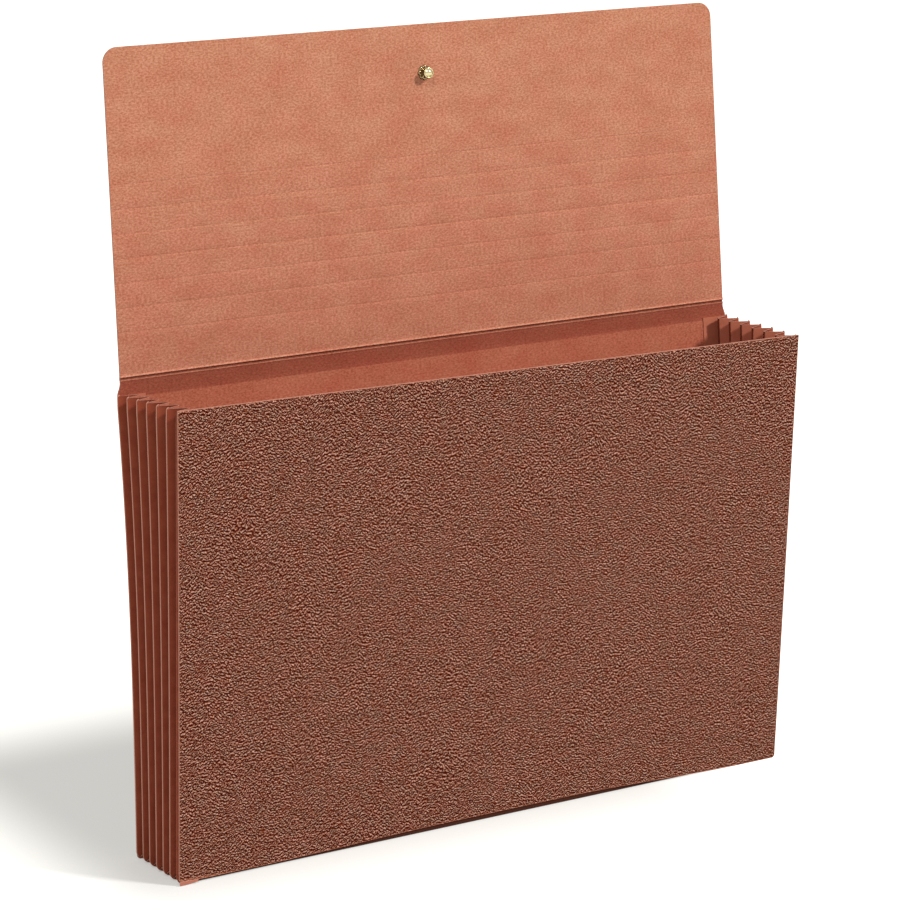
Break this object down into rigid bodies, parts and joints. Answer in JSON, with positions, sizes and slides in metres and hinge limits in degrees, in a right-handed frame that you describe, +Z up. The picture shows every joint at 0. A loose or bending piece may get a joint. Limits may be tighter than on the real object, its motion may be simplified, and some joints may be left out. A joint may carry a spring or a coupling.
{
  "type": "accordion file folder",
  "caption": "Legal-size expanding file wallet: leather-grained covers joined by an accordion gusset round the sides and foot, with a fold-over flap and a brass closure stud.",
  "frame": {"origin": "on the floor, in the middle of the back cover's foot edge, halfway through its thickness", "axes": "+Z up the back cover, +X along its foot to the right seen from the front, -Y towards the front"},
  "size_m": [0.3832, 0.0791, 0.4308],
  "materials": {
    "cover_board": "leather-grain embossed board, plain inside",
    "gusset_paper": "smooth red-brown gusset paper",
    "brass": "polished brass"
  },
  "bodies": {
    "back": {"back_cover": "cover_board", "back_flange": "gusset_paper"},
    "front": {"front_cover": "cover_board", "front_flange": "gusset_paper"},
    "flap": {"flap_span": "cover_board"},
    "leaf": {"flap_leaf": "cover_board", "stud_post": "brass", "stud_collar": "brass", "rivet_cap": "brass"},
    "ridge_1": {"ridge_fold_1": "gusset_paper"},
    "ridge_2": {"ridge_fold_2": "gusset_paper"},
    "ridge_3": {"ridge_fold_3": "gusset_paper"},
    "ridge_4": {"ridge_fold_4": "gusset_paper"},
    "ridge_5": {"ridge_fold_5": "gusset_paper"},
    "left_strip_1_rear": {"left_strip_1_rear": "gusset_paper"},
    "right_strip_1_rear": {"right_strip_1_rear": "gusset_paper"},
    "foot_strip_1_rear": {"foot_strip_1_rear": "gusset_paper"},
    "left_strip_1_front": {"left_strip_1_front": "gusset_paper"},
    "right_strip_1_front": {"right_strip_1_front": "gusset_paper"},
    "foot_strip_1_front": {"foot_strip_1_front": "gusset_paper"},
    "left_strip_2_rear": {"left_strip_2_rear": "gusset_paper"},
    "right_strip_2_rear": {"right_strip_2_rear": "gusset_paper"},
    "foot_strip_2_rear": {"foot_strip_2_rear": "gusset_paper"},
    "left_strip_2_front": {"left_strip_2_front": "gusset_paper"},
    "right_strip_2_front": {"right_strip_2_front": "gusset_paper"},
    "foot_strip_2_front": {"foot_strip_2_front": "gusset_paper"},
    "left_strip_3_rear": {"left_strip_3_rear": "gusset_paper"},
    "right_strip_3_rear": {"right_strip_3_rear": "gusset_paper"},
    "foot_strip_3_rear": {"foot_strip_3_rear": "gusset_paper"},
    "left_strip_3_front": {"left_strip_3_front": "gusset_paper"},
    "right_strip_3_front": {"right_strip_3_front": "gusset_paper"},
    "foot_strip_3_front": {"foot_strip_3_front": "gusset_paper"},
    "left_strip_4_rear": {"left_strip_4_rear": "gusset_paper"},
    "right_strip_4_rear": {"right_strip_4_rear": "gusset_paper"},
    "foot_strip_4_rear": {"foot_strip_4_rear": "gusset_paper"},
    "left_strip_4_front": {"left_strip_4_front": "gusset_paper"},
    "right_strip_4_front": {"right_strip_4_front": "gusset_paper"},
    "foot_strip_4_front": {"foot_strip_4_front": "gusset_paper"},
    "left_strip_5_rear": {"left_strip_5_rear": "gusset_paper"},
    "right_strip_5_rear": {"right_strip_5_rear": "gusset_paper"},
    "foot_strip_5_rear": {"foot_strip_5_rear": "gusset_paper"},
    "left_strip_5_front": {"left_strip_5_front": "gusset_paper"},
    "right_strip_5_front": {"right_strip_5_front": "gusset_paper"},
    "foot_strip_5_front": {"foot_strip_5_front": "gusset_paper"},
    "left_strip_6_rear": {"left_strip_6_rear": "gusset_paper"},
    "right_strip_6_rear": {"right_strip_6_rear": "gusset_paper"},
    "foot_strip_6_rear": {"foot_strip_6_rear": "gusset_paper"},
    "left_strip_6_front": {"left_strip_6_front": "gusset_paper"},
    "right_strip_6_front": {"right_strip_6_front": "gusset_paper"},
    "foot_strip_6_front": {"foot_strip_6_front": "gusset_paper"}
  },
  "joints": [
    {"name": "expansion", "type": "slide", "parent": "back", "child": "front", "axis": [0, -1, 0], "range_m": [-0.035, 0.019]},
    {"name": "flap_crease", "type": "hinge", "parent": "back", "child": "flap", "pos_m": [0, 0.0005, 0.261], "axis": [1, 0, 0], "range_deg": [-168, 94]},
    {"name": "leaf_score", "type": "hinge", "parent": "flap", "child": "leaf", "pos_m": [0, 0.00506, 0.3609], "axis": [1, 0, 0], "range_deg": [0, 90]},
    {"name": "ridge_1_travel", "type": "slide", "parent": "back", "child": "ridge_1", "axis": [0, -1, 0], "range_m": [-0.00633, 0.00367]},
    {"name": "ridge_2_travel", "type": "slide", "parent": "back", "child": "ridge_2", "axis": [0, -1, 0], "range_m": [-0.01217, 0.00683]},
    {"name": "ridge_3_travel", "type": "slide", "parent": "back", "child": "ridge_3", "axis": [0, -1, 0], "range_m": [-0.018, 0.01]},
    {"name": "ridge_4_travel", "type": "slide", "parent": "back", "child": "ridge_4", "axis": [0, -1, 0], "range_m": [-0.02383, 0.01317]},
    {"name": "ridge_5_travel", "type": "slide", "parent": "back", "child": "ridge_5", "axis": [0, -1, 0], "range_m": [-0.02967, 0.01633]},
    {"name": "left_strip_1_rear_fold", "type": "hinge", "parent": "back", "child": "left_strip_1_rear", "pos_m": [-0.1909, -0.00115, 0.00065], "axis": [0, 0, 1], "range_deg": [-9.43, 16.94]},
    {"name": "right_strip_1_rear_fold", "type": "hinge", "parent": "back", "child": "right_strip_1_rear", "pos_m": [0.1909, -0.00115, 0.00065], "axis": [0, 0, 1], "range_deg": [-16.94, 9.43]},
    {"name": "foot_strip_1_rear_fold", "type": "hinge", "parent": "back", "child": "foot_strip_1_rear", "pos_m": [0, -0.00115, 0.00065], "axis": [1, 0, 0], "range_deg": [-16.94, 9.43]},
    {"name": "left_strip_1_front_fold", "type": "hinge", "parent": "ridge_1", "child": "left_strip_1_front", "pos_m": [-0.1909, -0.00898, 0.00065], "axis": [0, -0.0132, 0.9999], "range_deg": [-16.94, 9.43]},
    {"name": "right_strip_1_front_fold", "type": "hinge", "parent": "ridge_1", "child": "right_strip_1_front", "pos_m": [0.1909, -0.00898, 0.00065], "axis": [0, -0.0132, 0.9999], "range_deg": [-9.43, 16.94]},
    {"name": "foot_strip_1_front_fold", "type": "hinge", "parent": "ridge_1", "child": "foot_strip_1_front", "pos_m": [0, -0.00898, 0.00065], "axis": [1, 0, 0], "range_deg": [-9.43, 16.94]},
    {"name": "left_strip_2_rear_fold", "type": "hinge", "parent": "ridge_1", "child": "left_strip_2_rear", "pos_m": [-0.1909, -0.00898, 0.00065], "axis": [0, -0.0132, 0.9999], "range_deg": [-9.43, 16.94]},
    {"name": "right_strip_2_rear_fold", "type": "hinge", "parent": "ridge_1", "child": "right_strip_2_rear", "pos_m": [0.1909, -0.00898, 0.00065], "axis": [0, -0.0132, 0.9999], "range_deg": [-16.94, 9.43]},
    {"name": "foot_strip_2_rear_fold", "type": "hinge", "parent": "ridge_1", "child": "foot_strip_2_rear", "pos_m": [0, -0.00898, 0.00065], "axis": [1, 0, 0], "range_deg": [-16.94, 9.43]},
    {"name": "left_strip_2_front_fold", "type": "hinge", "parent": "ridge_2", "child": "left_strip_2_front", "pos_m": [-0.1909, -0.01682, 0.00065], "axis": [0, -0.0265, 0.9996], "range_deg": [-16.94, 9.43]},
    {"name": "right_strip_2_front_fold", "type": "hinge", "parent": "ridge_2", "child": "right_strip_2_front", "pos_m": [0.1909, -0.01682, 0.00065], "axis": [0, -0.0265, 0.9996], "range_deg": [-9.43, 16.94]},
    {"name": "foot_strip_2_front_fold", "type": "hinge", "parent": "ridge_2", "child": "foot_strip_2_front", "pos_m": [0, -0.01682, 0.00065], "axis": [1, 0, 0], "range_deg": [-9.43, 16.94]},
    {"name": "left_strip_3_rear_fold", "type": "hinge", "parent": "ridge_2", "child": "left_strip_3_rear", "pos_m": [-0.1909, -0.01682, 0.00065], "axis": [0, -0.0265, 0.9996], "range_deg": [-9.43, 16.94]},
    {"name": "right_strip_3_rear_fold", "type": "hinge", "parent": "ridge_2", "child": "right_strip_3_rear", "pos_m": [0.1909, -0.01682, 0.00065], "axis": [0, -0.0265, 0.9996], "range_deg": [-16.94, 9.43]},
    {"name": "foot_strip_3_rear_fold", "type": "hinge", "parent": "ridge_2", "child": "foot_strip_3_rear", "pos_m": [0, -0.01682, 0.00065], "axis": [1, 0, 0], "range_deg": [-16.94, 9.43]},
    {"name": "left_strip_3_front_fold", "type": "hinge", "parent": "ridge_3", "child": "left_strip_3_front", "pos_m": [-0.1909, -0.02465, 0.00065], "axis": [0, -0.0397, 0.9992], "range_deg": [-16.94, 9.43]},
    {"name": "right_strip_3_front_fold", "type": "hinge", "parent": "ridge_3", "child": "right_strip_3_front", "pos_m": [0.1909, -0.02465, 0.00065], "axis": [0, -0.0397, 0.9992], "range_deg": [-9.43, 16.94]},
    {"name": "foot_strip_3_front_fold", "type": "hinge", "parent": "ridge_3", "child": "foot_strip_3_front", "pos_m": [0, -0.02465, 0.00065], "axis": [1, 0, 0], "range_deg": [-9.43, 16.94]},
    {"name": "left_strip_4_rear_fold", "type": "hinge", "parent": "ridge_3", "child": "left_strip_4_rear", "pos_m": [-0.1909, -0.02465, 0.00065], "axis": [0, -0.0397, 0.9992], "range_deg": [-9.43, 16.94]},
    {"name": "right_strip_4_rear_fold", "type": "hinge", "parent": "ridge_3", "child": "right_strip_4_rear", "pos_m": [0.1909, -0.02465, 0.00065], "axis": [0, -0.0397, 0.9992], "range_deg": [-16.94, 9.43]},
    {"name": "foot_strip_4_rear_fold", "type": "hinge", "parent": "ridge_3", "child": "foot_strip_4_rear", "pos_m": [0, -0.02465, 0.00065], "axis": [1, 0, 0], "range_deg": [-16.94, 9.43]},
    {"name": "left_strip_4_front_fold", "type": "hinge", "parent": "ridge_4", "child": "left_strip_4_front", "pos_m": [-0.1909, -0.03248, 0.00065], "axis": [0, -0.0529, 0.9986], "range_deg": [-16.94, 9.43]},
    {"name": "right_strip_4_front_fold", "type": "hinge", "parent": "ridge_4", "child": "right_strip_4_front", "pos_m": [0.1909, -0.03248, 0.00065], "axis": [0, -0.0529, 0.9986], "range_deg": [-9.43, 16.94]},
    {"name": "foot_strip_4_front_fold", "type": "hinge", "parent": "ridge_4", "child": "foot_strip_4_front", "pos_m": [0, -0.03248, 0.00065], "axis": [1, 0, 0], "range_deg": [-9.43, 16.94]},
    {"name": "left_strip_5_rear_fold", "type": "hinge", "parent": "ridge_4", "child": "left_strip_5_rear", "pos_m": [-0.1909, -0.03248, 0.00065], "axis": [0, -0.0529, 0.9986], "range_deg": [-9.43, 16.94]},
    {"name": "right_strip_5_rear_fold", "type": "hinge", "parent": "ridge_4", "child": "right_strip_5_rear", "pos_m": [0.1909, -0.03248, 0.00065], "axis": [0, -0.0529, 0.9986], "range_deg": [-16.94, 9.43]},
    {"name": "foot_strip_5_rear_fold", "type": "hinge", "parent": "ridge_4", "child": "foot_strip_5_rear", "pos_m": [0, -0.03248, 0.00065], "axis": [1, 0, 0], "range_deg": [-16.94, 9.43]},
    {"name": "left_strip_5_front_fold", "type": "hinge", "parent": "ridge_5", "child": "left_strip_5_front", "pos_m": [-0.1909, -0.04032, 0.00065], "axis": [0, -0.0661, 0.9978], "range_deg": [-16.94, 9.43]},
    {"name": "right_strip_5_front_fold", "type": "hinge", "parent": "ridge_5", "child": "right_strip_5_front", "pos_m": [0.1909, -0.04032, 0.00065], "axis": [0, -0.0661, 0.9978], "range_deg": [-9.43, 16.94]},
    {"name": "foot_strip_5_front_fold", "type": "hinge", "parent": "ridge_5", "child": "foot_strip_5_front", "pos_m": [0, -0.04032, 0.00065], "axis": [1, 0, 0], "range_deg": [-9.43, 16.94]},
    {"name": "left_strip_6_rear_fold", "type": "hinge", "parent": "ridge_5", "child": "left_strip_6_rear", "pos_m": [-0.1909, -0.04032, 0.00065], "axis": [0, -0.0661, 0.9978], "range_deg": [-9.43, 16.94]},
    {"name": "right_strip_6_rear_fold", "type": "hinge", "parent": "ridge_5", "child": "right_strip_6_rear", "pos_m": [0.1909, -0.04032, 0.00065], "axis": [0, -0.0661, 0.9978], "range_deg": [-16.94, 9.43]},
    {"name": "foot_strip_6_rear_fold", "type": "hinge", "parent": "ridge_5", "child": "foot_strip_6_rear", "pos_m": [0, -0.04032, 0.00065], "axis": [1, 0, 0], "range_deg": [-16.94, 9.43]},
    {"name": "left_strip_6_front_fold", "type": "hinge", "parent": "front", "child": "left_strip_6_front", "pos_m": [-0.1909, -0.04815, 0.00065], "axis": [0, -0.0792, 0.9969], "range_deg": [-16.94, 9.43]},
    {"name": "right_strip_6_front_fold", "type": "hinge", "parent": "front", "child": "right_strip_6_front", "pos_m": [0.1909, -0.04815, 0.00065], "axis": [0, -0.0792, 0.9969], "range_deg": [-9.43, 16.94]},
    {"name": "foot_strip_6_front_fold", "type": "hinge", "parent": "front", "child": "foot_strip_6_front", "pos_m": [0, -0.04815, 0.00065], "axis": [1, 0, 0], "range_deg": [-9.43, 16.94]}
  ],
  "couplings": [
    {"joint": "ridge_1_travel", "follows": "expansion", "ratio": 0.16667},
    {"joint": "ridge_2_travel", "follows": "expansion", "ratio": 0.33333},
    {"joint": "ridge_3_travel", "follows": "expansion", "ratio": 0.5},
    {"joint": "ridge_4_travel", "follows": "expansion", "ratio": 0.66667},
    {"joint": "ridge_5_travel", "follows": "expansion", "ratio": 0.83333},
    {"joint": "left_strip_1_rear_fold", "follows": "expansion", "rad_per_m": -8.2},
    {"joint": "right_strip_1_rear_fold", "follows": "expansion", "rad_per_m": 8.2},
    {"joint": "foot_strip_1_rear_fold", "follows": "expansion", "rad_per_m": 8.2},
    {"joint": "left_strip_1_front_fold", "follows": "expansion", "rad_per_m": 8.2},
    {"joint": "right_strip_1_front_fold", "follows": "expansion", "rad_per_m": -8.2},
    {"joint": "foot_strip_1_front_fold", "follows": "expansion", "rad_per_m": -8.2},
    {"joint": "left_strip_2_rear_fold", "follows": "expansion", "rad_per_m": -8.2},
    {"joint": "right_strip_2_rear_fold", "follows": "expansion", "rad_per_m": 8.2},
    {"joint": "foot_strip_2_rear_fold", "follows": "expansion", "rad_per_m": 8.2},
    {"joint": "left_strip_2_front_fold", "follows": "expansion", "rad_per_m": 8.2},
    {"joint": "right_strip_2_front_fold", "follows": "expansion", "rad_per_m": -8.2},
    {"joint": "foot_strip_2_front_fold", "follows": "expansion", "rad_per_m": -8.2},
    {"joint": "left_strip_3_rear_fold", "follows": "expansion", "rad_per_m": -8.2},
    {"joint": "right_strip_3_rear_fold", "follows": "expansion", "rad_per_m": 8.2},
    {"joint": "foot_strip_3_rear_fold", "follows": "expansion", "rad_per_m": 8.2},
    {"joint": "left_strip_3_front_fold", "follows": "expansion", "rad_per_m": 8.2},
    {"joint": "right_strip_3_front_fold", "follows": "expansion", "rad_per_m": -8.2},
    {"joint": "foot_strip_3_front_fold", "follows": "expansion", "rad_per_m": -8.2},
    {"joint": "left_strip_4_rear_fold", "follows": "expansion", "rad_per_m": -8.2},
    {"joint": "right_strip_4_rear_fold", "follows": "expansion", "rad_per_m": 8.2},
    {"joint": "foot_strip_4_rear_fold", "follows": "expansion", "rad_per_m": 8.2},
    {"joint": "left_strip_4_front_fold", "follows": "expansion", "rad_per_m": 8.2},
    {"joint": "right_strip_4_front_fold", "follows": "expansion", "rad_per_m": -8.2},
    {"joint": "foot_strip_4_front_fold", "follows": "expansion", "rad_per_m": -8.2},
    {"joint": "left_strip_5_rear_fold", "follows": "expansion", "rad_per_m": -8.2},
    {"joint": "right_strip_5_rear_fold", "follows": "expansion", "rad_per_m": 8.2},
    {"joint": "foot_strip_5_rear_fold", "follows": "expansion", "rad_per_m": 8.2},
    {"joint": "left_strip_5_front_fold", "follows": "expansion", "rad_per_m": 8.2},
    {"joint": "right_strip_5_front_fold", "follows": "expansion", "rad_per_m": -8.2},
    {"joint": "foot_strip_5_front_fold", "follows": "expansion", "rad_per_m": -8.2},
    {"joint": "left_strip_6_rear_fold", "follows": "expansion", "rad_per_m": -8.2},
    {"joint": "right_strip_6_rear_fold", "follows": "expansion", "rad_per_m": 8.2},
    {"joint": "foot_strip_6_rear_fold", "follows": "expansion", "rad_per_m": 8.2},
    {"joint": "left_strip_6_front_fold", "follows": "expansion", "rad_per_m": 8.2},
    {"joint": "right_strip_6_front_fold", "follows": "expansion", "rad_per_m": -8.2},
    {"joint": "foot_strip_6_front_fold", "follows": "expansion", "rad_per_m": -8.2}
  ]
}
